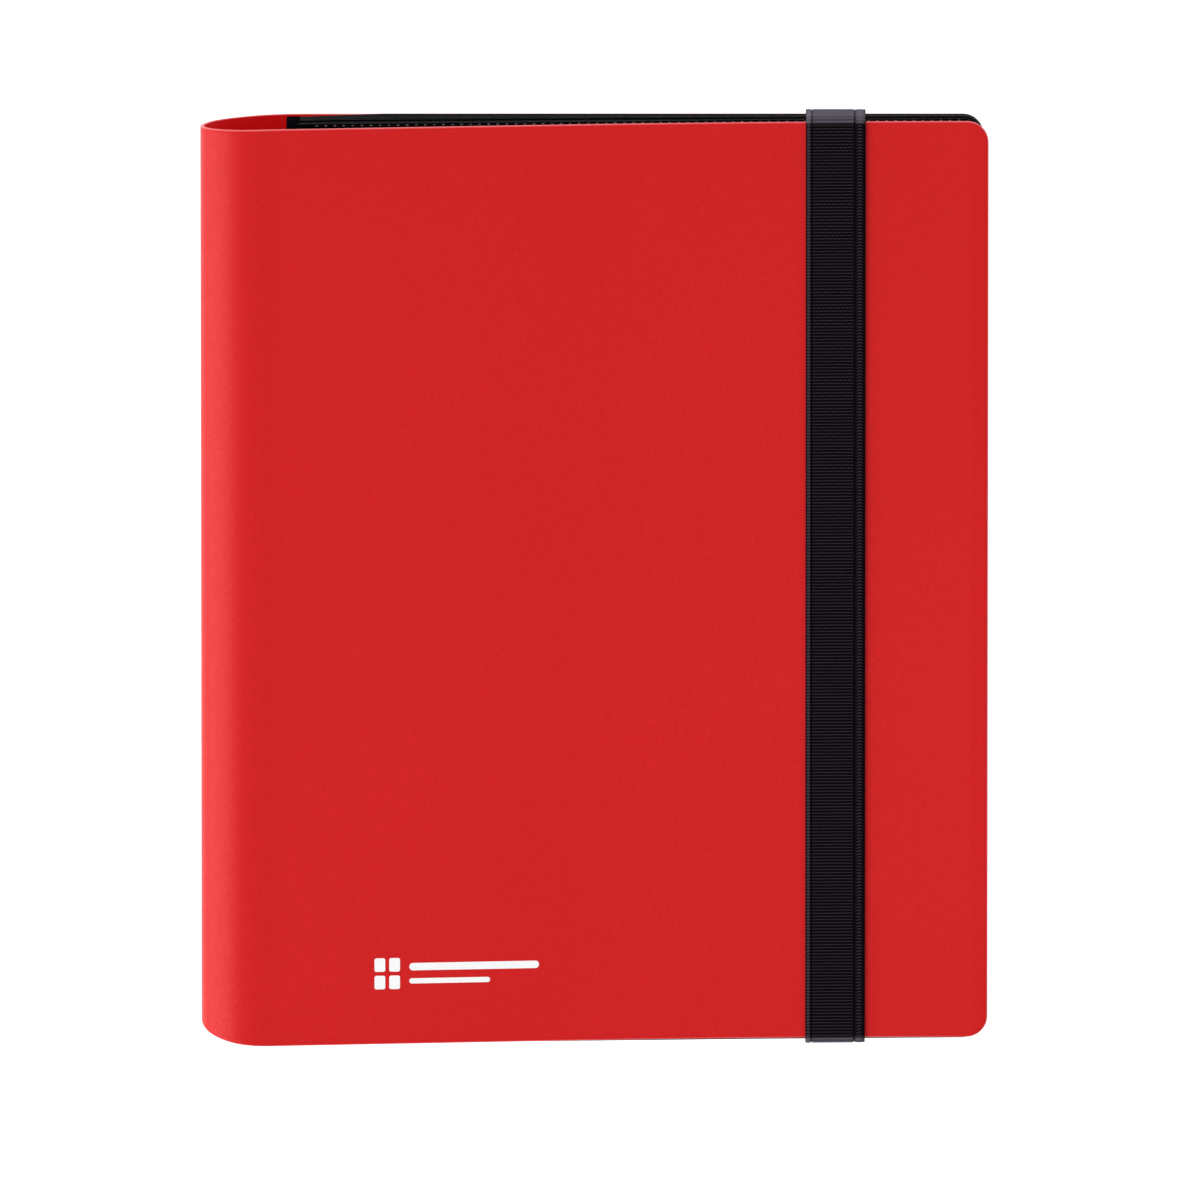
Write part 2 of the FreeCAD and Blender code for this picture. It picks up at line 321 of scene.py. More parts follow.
def strap_black():
    """Covered elastic yarn with a sheen: by the height of the weave its crowns are painted paler and
    faintly violet and its gaps nearly black, a painted highlight and shade.

    Where the strap folds, it is painted paler: a painted highlight where light catches the fold.
    """
    n = Nodes("strap_black_elastic")
    weave = n.add("ShaderNodeAttribute", attribute_name="weave").outputs["Fac"]
    stretch = n.add("ShaderNodeAttribute", attribute_name="stretch").outputs["Fac"]
    yarn = n.noise(0.16 * MM, 2.0, 0.6, (1, 0.45, 1))
    fuzz = n.noise(0.6 * MM, 3.0, 0.6)
    # crowns paler and gaps near black, by the weave's height: painted highlight and shade
    tint = n.mix(n.ramp(weave, 0.0, 1.0, 0.66, 1.0), (0.0006, 0.0003, 0.0008), (0.098, 0.076, 0.106))
    tint = n.mix(n.ramp(yarn, 0.0, 0.35), tint, (0.0030, 0.0018, 0.0034))
    tint = n.mix(n.ramp(fuzz, 0.0, 0.10), tint, (0.014, 0.010, 0.016))
    # pale fold tone: painted highlight where the strap folds
    fold_highlight = n.mix(n.ramp(weave, 0.0, 1.0, 0.25, 1.0), (0.012, 0.009, 0.014), (0.175, 0.152, 0.198))
    tint = n.mix(n.scaled(stretch, 0.85), tint, fold_highlight)
    normal = n.bump(yarn, 0.04 * MM, 0.6)
    return n.finish(tint, n.ramp(yarn, 0.62, 0.85), normal,
                    Specular_IOR_Level=0.05, Sheen_Weight=0.09, Sheen_Roughness=0.30)


def mark_white():
    """Screen-printed ink, very slightly uneven."""
    n = Nodes("mark_white_ink")
    tint = n.mix(n.ramp(n.noise(0.5 * MM), 0.0, 1.0), (0.86, 0.86, 0.86), (0.93, 0.93, 0.93))
    return n.finish(tint, 0.45, n.bump(n.noise(0.3 * MM), 0.01 * MM, 0.3))


def floor_pale():
    """White ground that glows, so that it stays white and shows no shadow."""
    n = Nodes("floor_pale")
    tint = n.mix(n.ramp(n.noise(0.4), 0.0, 1.0), (0.50, 0.50, 0.50), (0.53, 0.53, 0.53))
    return n.finish(tint, 0.9, None, Emission_Color=(1, 1, 1, 1), Emission_Strength=0.88,
                    Specular_IOR_Level=0.1)


RED_FACE = cover_red("cover_red_plastic", 0.0)
# the inside of the sheet glows: painted light, an emission standing in for light coming through the sheet
RED_INSIDE_GLOW = cover_red("cover_red_inside", 0.20)
RED_EDGE = cut_edge_red()
BLACK_LEAF = leaf_black()
BLACK_WELD = weld_mark("weld_black_plastic", (0.004, 0.004, 0.005), (0.016, 0.015, 0.017))
# pale weld marks: painted glints where light catches the top leaf's welds
GLINT_WELD = weld_mark("weld_rubbed_plastic", (0.12, 0.11, 0.12), (0.34, 0.31, 0.33))
CLEAR_FILM = clear_film()
SEAM_FILM = seam_film()
BLACK_TAPE = tape_black()
BLACK_STRAP = strap_black()
WHITE_INK = mark_white()


# ---------------------------------------------------------------- cover
def lerp(a, b, t):
    """Point at share t of the way from a to b."""
    return tuple(p + (q - p) * t for p, q in zip(a, b))


def unit(v):
    """v at length one."""
    length = math.hypot(*v)
    return tuple(c / length for c in v)


FORE_Z = FRONT_LOW.z + SHEET
SLOPE_END = FORE - 97.0 * MM          # the front panel is straight up to here
ARC_END = FORE - 2.0 * MM             # and level from here to the fore-edge
CORNER_STEPS = 14
FRONT_STEPS = 48
BACK_STEPS = 12
BEND_STEPS = 28
BACK_SHORT = 1.2 * MM         # the back panel stops this far short of the front panel
FIRST_BEND_RUN = 7.0 * MM     # the bends run this far into the back panel and the front panel
LAST_BEND_RUN = 12.0 * MM


def front_height(x):
    """Height of the front panel's outer face: a straight slope, then a wide arc."""
    peak_x, peak_z = FOLDS[-1]
    middle = (SLOPE_END + ARC_END) / 2
    slope = (peak_z - FORE_Z) / (middle - peak_x)
    if x <= SLOPE_END:
        return FORE_Z + slope * (middle - x)
    if x >= ARC_END:
        return FORE_Z
    return FORE_Z + slope * (ARC_END - x) ** 2 / (2 * (ARC_END - SLOPE_END))


def corner_stations(start, end, steps):
    """Pairs (x, corner angle) from start to the fore-edge, following the rounded corner."""
    straight_end = end - CORNER
    pairs = [(start + (straight_end - start) * i / steps, 0.0) for i in range(steps)]
    pairs += [(straight_end, math.pi / 2 * i / CORNER_STEPS) for i in range(CORNER_STEPS + 1)]
    return pairs


RELIEF_LONG = 16.0 * MM       # rounding of the spine's lower end, along X and along Y
RELIEF_DEEP = 5.1 * MM
FRONT_ABOVE = 5.0 * MM        # at a corner, sheet over this height is the front panel's

# each loop round the sheet's edge: inset from the cut edge, and depth below the outer face
EDGE_LOOPS = ((1.1 * MM, 0.0), (0.26 * MM, 0.0), (0.08 * MM, 0.07 * MM), (0.0, 0.24 * MM),
              (0.0, SHEET - 0.15 * MM), (0.12 * MM, SHEET), (0.8 * MM, SHEET))


def spine_relief(x):
    """How much the lower end of the spine is rounded away, as a quarter of an ellipse."""
    reach = max(0.0, 1 - (x - CAD_BOX[0].x) / RELIEF_LONG)
    return RELIEF_DEEP * (1 - math.sqrt(max(0.0, 1 - reach ** 2)))


def sheet_ring(position, normal, corner_angle, straight_end):
    """Ring of points round the sheet at one station of its profile."""
    ring = []
    for side in (1, -1):
        half = HALF if side == 1 else HALF - spine_relief(position[0])
        loops = EDGE_LOOPS if side == 1 else EDGE_LOOPS[::-1]
        for inset, depth in loops:
            if corner_angle > 0.0:
                reach = CORNER - inset
                x = straight_end + reach * math.sin(corner_angle)
                y = half - CORNER + reach * math.cos(corner_angle)
                z = front_height(x) if position[1] > FRONT_ABOVE else position[1]
                base = (x, z)
            else:
                base = position
                y = half - inset
            ring.append((base[0] - normal[0] * depth, side * y, base[1] - normal[1] * depth))
    return ring


def edge_band(j):
    """Slot of each band of a sheet: 0 the outside, 1 the cut edge, 2 the inside.

    The ring runs outside, edge, inside, edge: its second half mirrors its first.
    """
    outside, edge, inside = 0, 1, 2
    half = len(EDGE_LOOPS)
    band = min(j, 2 * half - 2 - j)
    if band >= half - 2:
        return inside
    return edge if band >= 1 else outside


def sheet_piece(name, stations, fore_edge=False):
    """Length of cover sheet; stations are (position, outward normal, corner angle, straight end)."""
    rings = [sheet_ring(*station) for station in stations]
    return loft(name, rings, [RED_FACE, RED_EDGE, RED_INSIDE_GLOW], edge_band, fore_edge)


SHOULDER_OUT = 4.6 * MM       # handles of the last bend, where the spine runs into the front panel
SHOULDER_IN = 6.5 * MM


def spine_span(index):
    """Start, control and end point of one smooth bend of the spine."""
    control = FOLDS[index]
    if index == 0:
        start = (control[0] + FIRST_BEND_RUN, control[1])
    else:
        start = lerp(FOLDS[index - 1], control, 0.5)
    if index == len(FOLDS) - 1:
        x = control[0] + LAST_BEND_RUN
        end = (x, front_height(x))
    else:
        end = lerp(control, FOLDS[index + 1], 0.5)
    return start, control, end


def bend_handles(index):
    """The four points of the cubic that rounds one fold."""
    start, control, end = spine_span(index)
    if index < len(FOLDS) - 1:
        return start, lerp(start, control, 2 / 3), lerp(end, control, 2 / 3), end
    along = unit((control[0] - start[0], control[1] - start[1]))
    back = unit((control[0] - end[0], control[1] - end[1]))
    return (start, (start[0] + along[0] * SHOULDER_OUT, start[1] + along[1] * SHOULDER_OUT),
            (end[0] + back[0] * SHOULDER_IN, end[1] + back[1] * SHOULDER_IN), end)


def bend_station(handles, t):
    """Place and outward normal on the cubic at t."""
    a, b, c, d = handles
    first, second, third = lerp(a, b, t), lerp(b, c, t), lerp(c, d, t)
    left, right = lerp(first, second, t), lerp(second, third, t)
    along = unit((right[0] - left[0], right[1] - left[1]))
    return lerp(left, right, t), (-along[1], along[0]), 0.0, 0.0


def build_spine():
    """One smooth bend over each fold, from the middle of one strip to the middle of the next.

    The first and the last bend run on into the panels.
    """
    for i in range(len(FOLDS)):
        handles = bend_handles(i)
        stations = [bend_station(handles, k / BEND_STEPS) for k in range(BEND_STEPS + 1)]
        piece = sheet_piece("cover_bend_%d" % (i + 1), stations)
        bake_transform(piece)
        if i < STRIPS:
            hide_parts("spine_strip_%d" % (i + 1))


def build_front_panel():
    """Front panel, from the end of the last bend to the fore-edge."""
    start = spine_span(len(FOLDS) - 1)[2][0]
    straight_end = FORE - CORNER
    stations = []
    for x, angle in corner_stations(start, FORE, FRONT_STEPS):
        slope = (front_height(x + MM) - front_height(x - MM)) / (2 * MM)
        normal = unit((-slope, 1.0))
        stations.append(((x, front_height(x)), normal, angle, straight_end))
    piece = sheet_piece("cover_front_panel", stations, fore_edge=True)
    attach(piece, "cover")
    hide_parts("front_cover")


def build_back_panel():
    """Flat back panel, from the start of the first bend."""
    start = spine_span(0)[0][0]
    fore = FORE - BACK_SHORT
    straight_end = fore - CORNER
    stations = []
    for x, angle in corner_stations(start, fore, BACK_STEPS):
        stations.append(((x, 0.0), (0.0, -1.0), angle, straight_end))
    piece = sheet_piece("cover_back_panel", stations, fore_edge=True)
    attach(piece, "root")
    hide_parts("back_cover")


build_spine()
build_front_panel()
build_back_panel()


# ---------------------------------------------------------------- leaves
LEAF_THICK = 0.16 * MM
FILM_THICK = 0.06 * MM
_, LEAF_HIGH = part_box("leaf_01_sheet")
LEAF_HALF = LEAF_HIGH.y
LEAF_FORE = LEAF_HIGH.x
LEAF_CORNER = 4.6 * MM
LEAF_BEND_X = 36.6 * MM       # each leaf bends near here, under the hollow of the front panel
BOUND_THICK = 0.5 * MM        # a leaf's bound edge
CREASE_REACH = 1.6 * MM       # finer steps on both sides of the crease
MARGIN_STEPS = 6
CREASE_STEPS = 8
RUN_STEPS = 30
LEAF_CORNER_STEPS = 8
RIM = 0.8 * MM                # the leaf's rim, where its faces meet its edge
TOP_LEAVES = (11, 19)         # these leaves stand out most at the top end
STAND_OUT = 0.02 * MM
LOWER_FROM = 12               # from this leaf up, the others sit lower
SITS_LOWER = 0.18 * MM
UNEVEN = (-0.10, 0.02)        # how far a leaf's ends fall from square, in mm
EASE_REACH = 1.2 * MM         # its corners are eased this far on both sides
EASE_SAMPLES = 5

random.seed(11)


def leaf_line(index):
    """Corners of a leaf's middle line from the bound edge to the fore-edge, from the frame."""
    crease = joint_point("leaf_%02d_turn" % (index + 1))
    xs = {}
    for vert in frame["nodes"]["leaf_%02d_sheet" % (index + 1)].data.vertices:
        key = round(vert.co.x, 5)
        xs.setdefault(key, []).append(vert.co.z)
    mid = {x: (min(z) + max(z)) / 2 for x, z in xs.items()}
    right = max(mid)
    bend = min(mid, key=lambda x: abs(x - LEAF_BEND_X))
    pitch = (BOUND_HIGH.z - BOUND_LOW.z - BOUND_THICK) / (LEAVES - 1)
    bound = (BOUND_HIGH.x, BOUND_LOW.z + BOUND_THICK / 2 + pitch * index)
    return [bound, crease, (bend, mid[bend]), (right, mid[right])]


def on_line(line, x):
    """Height of a leaf's middle line at x."""
    for (x0, z0), (x1, z1) in zip(line, line[1:]):
        if x <= x1:
            return z0 + (z1 - z0) * (x - x0) / (x1 - x0)
    return line[-1][1]


def smooth_line(line, x):
    """Middle line with its corners eased."""
    total = 0.0
    for i in range(EASE_SAMPLES):
        offset = EASE_REACH * (2 * i / (EASE_SAMPLES - 1) - 1)
        total += on_line(line, min(max(x + offset, line[0][0]), line[-1][0]))
    return total / EASE_SAMPLES


def leaf_stations(line):
    """Pairs (x, corner angle) from the bound edge to the fore-edge."""
    crease = line[1][0]
    left = line[0][0]
    xs = [left + (crease - left) * i / MARGIN_STEPS for i in range(MARGIN_STEPS)]
    xs = [x for x in xs if x < crease - CREASE_REACH]
    xs += [crease + CREASE_REACH * (i / CREASE_STEPS - 1) for i in range(2 * CREASE_STEPS)]
    run_end = LEAF_FORE - LEAF_CORNER
    first = crease + CREASE_REACH
    xs += [first + (run_end - first) * i / RUN_STEPS for i in range(RUN_STEPS)]
    pairs = [(x, 0.0) for x in xs]
    pairs += [(run_end, math.pi / 2 * i / LEAF_CORNER_STEPS) for i in range(LEAF_CORNER_STEPS + 1)]
    return pairs


def build_leaf(index):
    """Black core sheet of a leaf. Returns its middle line and the places of its two ends."""
    line = leaf_line(index)
    name = "leaf_%02d" % (index + 1)
    top = LEAF_HALF + random.uniform(*UNEVEN) * MM
    bottom = -LEAF_HALF - random.uniform(*UNEVEN) * MM
    if index in TOP_LEAVES:
        top = LEAF_HALF + STAND_OUT
    elif index >= LOWER_FROM:
        top -= SITS_LOWER
    run_end = LEAF_FORE - LEAF_CORNER
    rings = []
    half_thick = LEAF_THICK / 2
    for x, angle in leaf_stations(line):
        px = run_end + LEAF_CORNER * math.sin(angle) if angle > 0 else x
        drop = LEAF_CORNER * (1 - math.cos(angle)) if angle > 0 else 0.0
        z = smooth_line(line, px)
        y1, y0 = top - drop, bottom + drop
        over, under = z + half_thick, z - half_thick
        rings.append([(px, y1 - RIM, over), (px, y1, over), (px, y1, under), (px, y1 - RIM, under),
                      (px, y0 + RIM, under), (px, y0, under), (px, y0, over), (px, y0 + RIM, over)])
    piece = loft(name + "_core", rings, [BLACK_LEAF])
    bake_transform(piece)
    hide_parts(name + "_sheet")
    if index == 0:
        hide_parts("leaf_margins")
    return line, top, bottom


WELD_PITCH = 2.03 * MM
WELD_LONG = 0.42 * MM         # half length and half width of a weld mark at its foot
WELD_WIDE = 0.16 * MM
WELD_HIGH = 0.10 * MM
WELD_TOP_LONG = 0.45          # share of each that is left at its top
WELD_TOP_WIDE = 0.4
WELD_INSET = 0.42 * MM        # from the leaf's end to the row of marks
WELD_SUNK = 0.01 * MM
WELD_FROM_CREASE = 2.2 * MM
WELD_SHIFT = 0.6 * MM         # the rows are out of step from leaf to leaf
SEAM = 2.0 * MM               # between two pockets
SEAM_RIB = 0.35 * MM          # half the width of a weld line
SEAM_STANDS = 1.1             # height of a weld line, as a share of the film's
SEAM_STEPS = 16
FILM_STEPS = 10


def weld_dashes(verts, faces, line, y, direction, lift, count_from, count_to):
    """Row of small raised lozenges along the end edge of a leaf."""
    x = count_from
    while x < count_to:
        z = smooth_line(line, x) + lift
        b = len(verts)
        for long, wide, high in ((WELD_LONG, WELD_WIDE, 0),
                                 (WELD_LONG * WELD_TOP_LONG, WELD_WIDE * WELD_TOP_WIDE, WELD_HIGH)):
            for dx, dy in ((-long, 0), (0, -wide), (long, 0), (0, wide)):
                verts.append((x + dx, y + direction * dy, z + high))
        faces.extend([(b, b + 3, b + 2, b + 1), (b + 4, b + 5, b + 6, b + 7)])
        for j in range(4):
            k = (j + 1) % 4
            faces.append((b + j, b + k, b + 4 + k, b + 4 + j))
        x += WELD_PITCH


def film_grid(verts, faces, line, span_x, span_y, span_z, steps=1):
    """Thin closed slab that follows the leaf's line, in steps along X."""
    (x0, x1), (y0, y1), (low, high) = span_x, span_y, span_z
    b = len(verts)
    for i in range(steps + 1):
        x = x0 + (x1 - x0) * i / steps
        z = smooth_line(line, x)
        verts.extend([(x, y0, z + low), (x, y1, z + low), (x, y1, z + high), (x, y0, z + high)])
    faces.append((b, b + 1, b + 2, b + 3))
    e = b + 4 * steps
    faces.append((e + 3, e + 2, e + 1, e))
    for i in range(steps):
        s = b + 4 * i
        for j in range(4):
            k = (j + 1) % 4
            faces.append((s + j, s + 4 + j, s + 4 + k, s + k))


def build_films(index, line):
    """Clear pocket fronts, two by two on each side of a leaf, and their welded seams."""
    name = "leaf_%02d" % (index + 1)
    low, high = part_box(name + "_pockets")
    width = (high.x - low.x - SEAM) / 2
    tall = (high.y - low.y - SEAM) / 2
    verts = []
    faces = []
    for column in (0, 1):
        x0 = low.x + column * (width + SEAM)
        for row in (0, 1):
            y0 = low.y + row * (tall + SEAM)
            for side in (-1, 1):
                span_z = sorted((side * LEAF_THICK / 2, side * (LEAF_THICK / 2 + FILM_THICK)))
                film_grid(verts, faces, line, (x0, x0 + width), (y0, y0 + tall), span_z, FILM_STEPS)
    films = new_mesh(name + "_films", verts, faces)
    films.data.materials.append(CLEAR_FILM)
    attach(films, name)
    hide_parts(name + "_pockets")

    verts = []
    faces = []
    middle_x = low.x + width + SEAM / 2
    across = (middle_x - SEAM_RIB, middle_x + SEAM_RIB)
    for side in (-1, 1):
        span_z = sorted((side * LEAF_THICK / 2, side * (LEAF_THICK / 2 + FILM_THICK * SEAM_STANDS)))
        for y in (low.y - SEAM / 2, low.y + tall + SEAM / 2, high.y + SEAM / 2):
            film_grid(verts, faces, line, (low.x, high.x), (y - SEAM_RIB, y + SEAM_RIB), span_z, SEAM_STEPS)
        film_grid(verts, faces, line, across, (low.y, low.y + tall), span_z)
        film_grid(verts, faces, line, across, (high.y - tall, high.y), span_z)
    seams = new_mesh(name + "_seams", verts, faces)
    seams.data.materials.append(SEAM_FILM)
    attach(seams, name)


def build_welds(index, line, top, bottom):
    """Embossed weld marks along the leaf's top and bottom edges; on the top leaf they are painted pale, a
    painted glint.
    """
    name = "leaf_%02d" % (index + 1)
    verts = []
    faces = []
    start = line[1][0] + WELD_FROM_CREASE + WELD_SHIFT * (index % 3)
    stop = LEAF_FORE - LEAF_CORNER
    for y, direction in ((top - WELD_INSET, 1), (bottom + WELD_INSET, -1)):
        weld_dashes(verts, faces, line, y, direction, LEAF_THICK / 2 - WELD_SUNK, start, stop)
    welds = new_mesh(name + "_welds", verts, faces)
    # the top leaf's welds are painted pale as glints; the other leaves keep the black welds
    welds.data.materials.append(GLINT_WELD if index == LEAVES - 1 else BLACK_WELD)
    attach(welds, name)


for leaf in range(LEAVES):
    leaf_shape = build_leaf(leaf)
    build_films(leaf, leaf_shape[0])
    build_welds(leaf, *leaf_shape)


# ---------------------------------------------------------------- binding
TAPE_RADIUS = 1.1 * MM
TAPE_THICK = 0.4 * MM
TAPE_FOLD_STEPS = 6


def build_tape():
    """Tape folded round the bound edges, its folds rounded."""
    x0, x1 = TAPE_LOW.x, TAPE_HIGH.x
    z0, z1 = TAPE_LOW.z, TAPE_HIGH.z
    path = [((x1, z0), (0.0, -1.0))]
    for middle_z, first in ((z0 + TAPE_RADIUS, -math.pi / 2), (z1 - TAPE_RADIUS, math.pi)):
        for i in range(TAPE_FOLD_STEPS + 1):
            angle = first - math.pi / 2 * i / TAPE_FOLD_STEPS
            nx, nz = math.cos(angle), math.sin(angle)
            path.append(((x0 + TAPE_RADIUS + TAPE_RADIUS * nx, middle_z + TAPE_RADIUS * nz), (nx, nz)))
    path.append(((x1, z1), (0.0, 1.0)))
    half = TAPE_HIGH.y
    rings = []
    for (x, z), (nx, nz) in path:
        inner_x, inner_z = x - nx * TAPE_THICK, z - nz * TAPE_THICK
        rings.append([(x, half, z), (x, -half, z), (inner_x, -half, inner_z), (inner_x, half, inner_z)])
    piece = loft("binding_wrap", rings, [BLACK_TAPE])
    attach(piece, "root")
    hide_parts("binding_tape")


build_tape()


# ---------------------------------------------------------------- strap
STRAP_LEFT, STRAP_RIGHT = RUN_LOW.x, RUN_HIGH.x
STRAP_WIDTH = STRAP_RIGHT - STRAP_LEFT
STRAP_THICK = RUN_HIGH.z - RUN_LOW.z
WRAP_BEND = 1.3 * MM          # radius of the strap's bend at the front, and at the back
TAIL_BEND = 0.5 * MM
FACE_SUNK = 0.02 * MM         # base of the weave, under the strap's surface
BACK_EDGE_LIFT = 0.12 * MM    # rounding of the edges of the strap's back
RIB_PITCH = 0.716 * MM
RIB_STEP = RIB_PITCH / 4
BEAD_PITCH = 0.60 * MM
LEFT_SELVEDGE = 1.35 * MM
RIGHT_SELVEDGE = 2.45 * MM
# fullness of each selvedge's crown, then the heights of its crown, stitches and base
LEFT_WEAVE = (0.9, 0.20 * MM, 0.08 * MM, -0.20 * MM)
RIGHT_WEAVE = (0.92, 0.20 * MM, 0.13 * MM, -0.27 * MM)
RIB_HIGH = 0.20 * MM
RIB_BASE = -0.12 * MM
BEAD_SHARE = 0.4              # share of a rib's height that rises and falls along it
GROOVE = 0.22 * MM            # between each selvedge and the ribs
GROOVE_DEPTH = 0.24 * MM      # deepest place of the weave, and a little over its highest
CROWN_HIGH = 0.10 * MM
CENTRE_STEPS = 44
SLANT = 0.45 * MM             # the right selvedge's stitches run back this far at its edges
BACK_PILE = 0.3               # tone of the strap's back
RUN_SHORT = 1.0 * MM          # the front run stops this far short of the bend
WRAP_PAST = 0.3 * MM          # and the fold runs on this far past the second bend
FOLD_HIGHLIGHT_REACH = 0.5 * MM      # FOLD_HIGHLIGHT_REACH = 0.5 * MM # past the run, the fold is painted paler over this length, a painted highlight
SETTLE_FROM = 4.0 * MM        # the strap dips to its right more and more over these heights
SETTLE_OVER = 6.0 * MM


def strap_path():
    """Half of the strap's middle surface, from the middle of the front run to the tail's end."""
    out = RUN_HIGH.y
    outer_top = RUN_HIGH.z
    tail_mid = (TAIL_LOW.z + TAIL_HIGH.z) / 2
    mid = STRAP_THICK / 2
    big, small = WRAP_BEND, TAIL_BEND
    y_wrap = out - mid
    z_run = outer_top - mid
    pieces = [("line", (0.0, z_run), (y_wrap - big, z_run)),
              ("arc", (y_wrap - big, z_run - big), big, math.pi / 2, 0.0),
              ("line", (y_wrap, z_run - big), (y_wrap, tail_mid + small)),
              ("arc", (y_wrap - small, tail_mid + small), small, 0.0, -math.pi / 2),
              ("line", (y_wrap - small, tail_mid), (TAIL_LOW.y, tail_mid))]
    return pieces


def piece_length(piece):
    """Length of a line or an arc."""
    if piece[0] == "line":
        return math.dist(piece[1], piece[2])
    _, _, radius, first, last = piece
    return radius * abs(last - first)


def piece_at(piece, s):
    """Point and outward normal at length s along a line or an arc."""
    if piece[0] == "line":
        _, start, end = piece
        d = unit((end[0] - start[0], end[1] - start[1]))
        return (start[0] + d[0] * s, start[1] + d[1] * s), (-d[1], d[0])
    _, middle, radius, first, last = piece
    angle = first + (last - first) * s / piece_length(piece)
    normal = (math.cos(angle), math.sin(angle))
    return (middle[0] + radius * normal[0], middle[1] + radius * normal[1]), normal


def path_at(pieces, s):
    """Point and outward normal at length s along the half path."""
    for piece in pieces[:-1]:
        if s <= piece_length(piece):
            return piece_at(piece, s)
        s -= piece_length(piece)
    return piece_at(pieces[-1], s)


def across_points():
    """Distances from the left edge where the strap's face is sampled, closer at its steps."""
    left, right = LEFT_SELVEDGE, STRAP_WIDTH - RIGHT_SELVEDGE
    a, b = left + GROOVE + 0.2 * MM, right - GROOVE - 0.2 * MM
    points = [0.0, 0.12 * MM, 0.4 * MM, 0.8 * MM, left - 0.15 * MM, left, left + GROOVE, a]
    points += [a + (b - a) * i / CENTRE_STEPS for i in range(1, CENTRE_STEPS)]
    points += [b, right - GROOVE, right]
    points += [right + step * MM for step in (0.2, 0.7, 1.2, 1.7)]
    points += [STRAP_WIDTH - 0.3 * MM, STRAP_WIDTH - 0.1 * MM, STRAP_WIDTH]
    return points


ACROSS = across_points()


def wave(distance, pitch, phase=0.0):
    """Cosine wave between 0 and 1."""
    return 0.5 + 0.5 * math.cos(2 * math.pi * distance / pitch + phase)


def crown(share, fullness):
    """Rounded top of a selvedge at a share of its width, 1 at its middle."""
    return math.sqrt(max(0.0, 1 - (2 * share - 1) ** 2 * fullness))


def relief(u, s):
    """Height of the strap's face over its base, at distance u across and s along."""
    right_start = STRAP_WIDTH - RIGHT_SELVEDGE
    rib = wave(s, RIB_PITCH)
    if u < LEFT_SELVEDGE:
        fullness, high, stitch_high, base = LEFT_WEAVE
        return high * crown(u / LEFT_SELVEDGE, fullness) + stitch_high * rib + base
    if u > right_start:
        fullness, high, stitch_high, base = RIGHT_WEAVE
        v = (u - right_start) / RIGHT_SELVEDGE
        stitch = wave(s + SLANT * abs(2 * v - 1), RIB_PITCH)
        return high * crown(v, fullness) + stitch_high * stitch + base
    if u < LEFT_SELVEDGE + GROOVE or u > right_start - GROOVE:
        return -GROOVE_DEPTH
    odd = math.pi if int(s / RIB_PITCH + 0.5) % 2 else 0.0
    bead = wave(u, BEAD_PITCH, odd)
    return RIB_HIGH * rib * (1 - BEAD_SHARE + BEAD_SHARE * bead) + RIB_BASE


def settle(x, z):
    """How far the strap dips towards its right edge, where the front panel falls away."""
    share = max(0.0, min(1.0, (z - SETTLE_FROM) / SETTLE_OVER))
    return -(front_height(STRAP_LEFT) - front_height(x)) * share


def strap_ring(pieces, s, side):
    """Points round the strap at length s, and how far each stands up in the weave, 0 to 1."""
    (y, z), (ny, nz) = path_at(pieces, s)
    ring = []
    pile = []
    for u in ACROSS:
        rise = relief(u, s * side)
        h = STRAP_THICK / 2 - FACE_SUNK + rise
        x = STRAP_LEFT + u
        ring.append((x, side * (y + ny * h), z + nz * h + settle(x, z)))
        pile.append(max(0.0, min(1.0, (rise + GROOVE_DEPTH) / (GROOVE_DEPTH + CROWN_HIGH))))
    for share in (1.0, 0.98, 0.5, 0.02, 0.0):
        lift = BACK_EDGE_LIFT if share in (1.0, 0.0) else FACE_SUNK
        h = lift - STRAP_THICK / 2
        x = STRAP_LEFT + STRAP_WIDTH * share
        ring.append((x, side * (y + ny * h), z + nz * h + settle(x, z)))
        pile.append(BACK_PILE)
    return ring, pile


def strap_piece(name, stations):
    """Length of strap through stations (s, side), its weave and the fold's painted highlight kept as
    attributes.
    """
    pieces = strap_path()
    rings = [strap_ring(pieces, s, side) for s, side in stations]
    piece = loft(name, [ring for ring, _ in rings], [BLACK_STRAP], sharp_deg=60.0)
    # the weave's height, which the material turns into painted highlight on the crowns and painted shade in
    # the gaps
    weave = piece.data.attributes.new("weave", "FLOAT", "POINT")
    weave.data.foreach_set("value", [value for _, pile in rings for value in pile])
    run = piece_length(pieces[0])
    # share of the painted highlight along each fold
    fold_highlight = [max(0.0, min(1.0, (s - run) / FOLD_HIGHLIGHT_REACH)) for s, _ in stations]
    stretch = piece.data.attributes.new("stretch", "FLOAT", "POINT")
    stretch.data.foreach_set("value", [share for share in fold_highlight for _ in rings[0][0]])
    return piece


def strap_length(name, start, stop, side):
    """Strap from length start to length stop of the half path, on one side."""
    count = max(2, round((stop - start) / RIB_STEP))
    stations = [(start + (stop - start) * i / count, side) for i in range(count + 1)]
    return strap_piece(name, stations if side > 0 else stations[::-1])


def build_strap():
    """Front run, the two folds round the block's ends and the two ends inside the back panel."""
    lengths = [piece_length(piece) for piece in strap_path()]
    run_half = lengths[0] - RUN_SHORT
    wrap_end = sum(lengths[:-1]) + WRAP_PAST
    total = sum(lengths)
    count = round(2 * run_half / RIB_STEP)
    along = [-run_half + 2 * run_half * i / count for i in range(count + 1)]
    run = strap_piece("strap_run", [(abs(s), 1 if s >= 0 else -1) for s in along])
    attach(run, "strap")
    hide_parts("strap_front_run")
    for side, end in ((1, "top"), (-1, "bottom")):
        wrap = strap_length("strap_fold_" + end, run_half, wrap_end, side)
        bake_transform(wrap)
        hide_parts("strap_wrap_" + end)
        tail = strap_length("strap_inner_end_" + end, wrap_end, total, side)
        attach(tail, "root")
        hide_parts("strap_tail_" + end)


build_strap()


